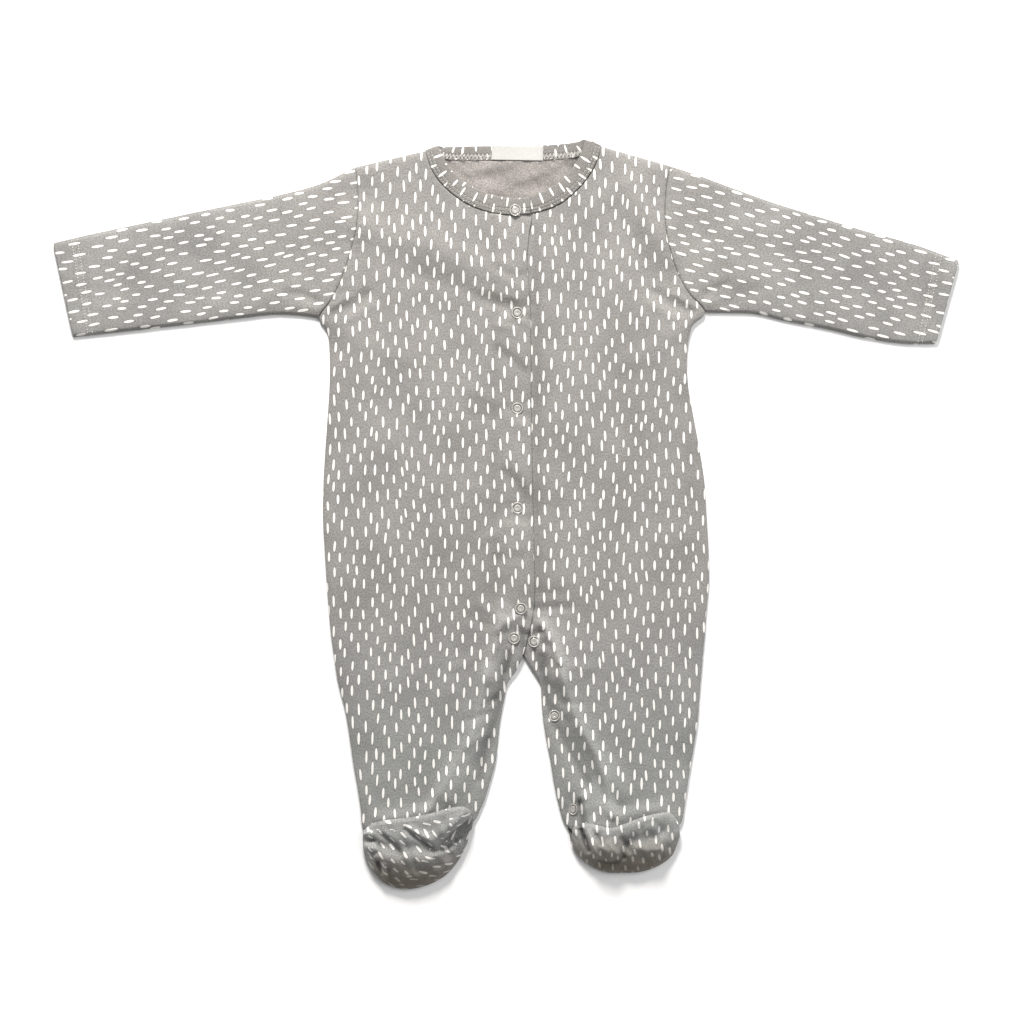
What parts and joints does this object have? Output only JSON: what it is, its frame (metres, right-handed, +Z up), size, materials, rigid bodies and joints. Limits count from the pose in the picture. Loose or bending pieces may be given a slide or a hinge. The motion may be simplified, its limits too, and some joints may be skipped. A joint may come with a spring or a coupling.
{
  "type": "footed baby sleepsuit",
  "caption": "Long-sleeved footed baby sleepsuit in printed cotton jersey, laid flat on its back, closed down the front and inseam with snaps.",
  "frame": {"origin": "middle of the garment's outline, on the surface that it lies on", "axes": "+X towards the wearer's left sleeve, +Y towards the neck, +Z up from the surface"},
  "size_m": [0.724, 0.6004, 0.0232],
  "materials": {
    "jersey": "mid grey cotton jersey with a small white dash print, plain on the wrong side",
    "label": "white woven label, blank",
    "snap": "pale grey satin"
  },
  "bodies": {
    "root": {"back": "jersey", "right_front": "jersey", "left_front": "jersey", "right_sleeve": "jersey", "left_sleeve": "jersey", "neckband": "jersey", "right_foot_sole": "jersey", "left_foot_sole": "jersey", "right_foot_upper": "jersey", "left_foot_upper": "jersey", "neck_label": "label", "snap_neck": "snap", "snap_chest": "snap", "snap_waist": "snap", "snap_belly": "snap", "snap_seat": "snap", "snap_crotch_right": "snap", "snap_crotch_left": "snap", "snap_thigh": "snap", "snap_ankle": "snap"}
  },
  "joints": []
}
